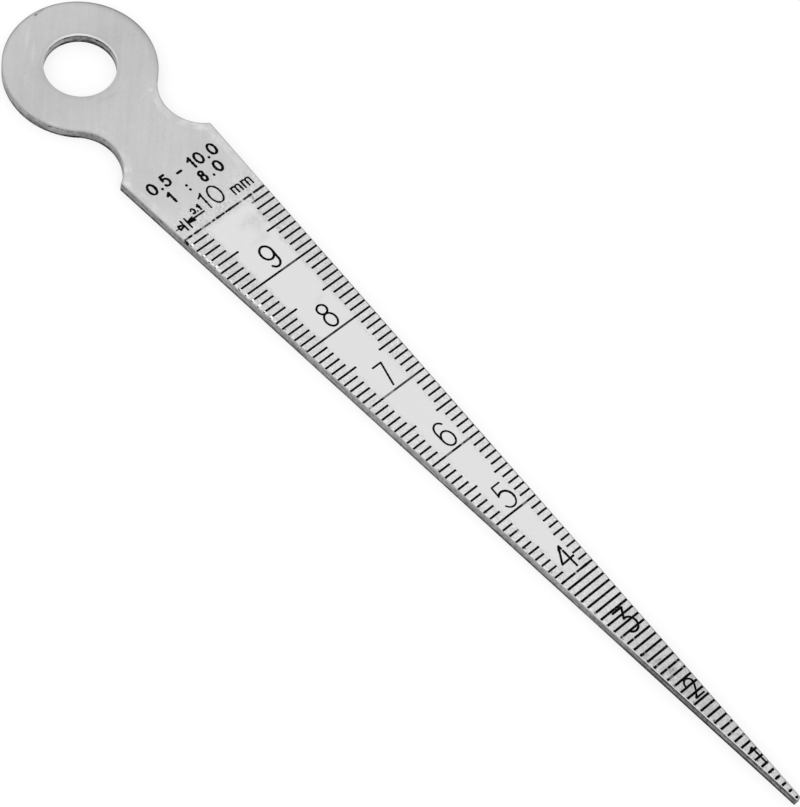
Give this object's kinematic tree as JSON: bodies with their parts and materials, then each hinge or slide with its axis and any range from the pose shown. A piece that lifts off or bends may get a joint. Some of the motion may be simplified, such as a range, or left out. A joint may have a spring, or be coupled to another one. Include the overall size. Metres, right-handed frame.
{
  "type": "taper gauge",
  "caption": "Flat steel taper gauge with a hanging ring, graduated in tenths of a millimetre, for reading the width of holes and slots.",
  "frame": {"origin": "centre of the footprint, on the back face that the gauge lies on", "axes": "+Z out of the graduated face, +Y along the gauge towards the hanging ring, +X across it to the right with the ring at the top"},
  "size_m": [0.0148, 0.1046, 0.0012],
  "materials": {
    "satin_steel": "fine satin stainless steel, paler and smoother along the middle of the scale",
    "black_fill": "matt black filling of the engraved lines and figures, a little worn"
  },
  "bodies": {
    "root": {"gauge_body": "satin_steel"}
  },
  "joints": []
}
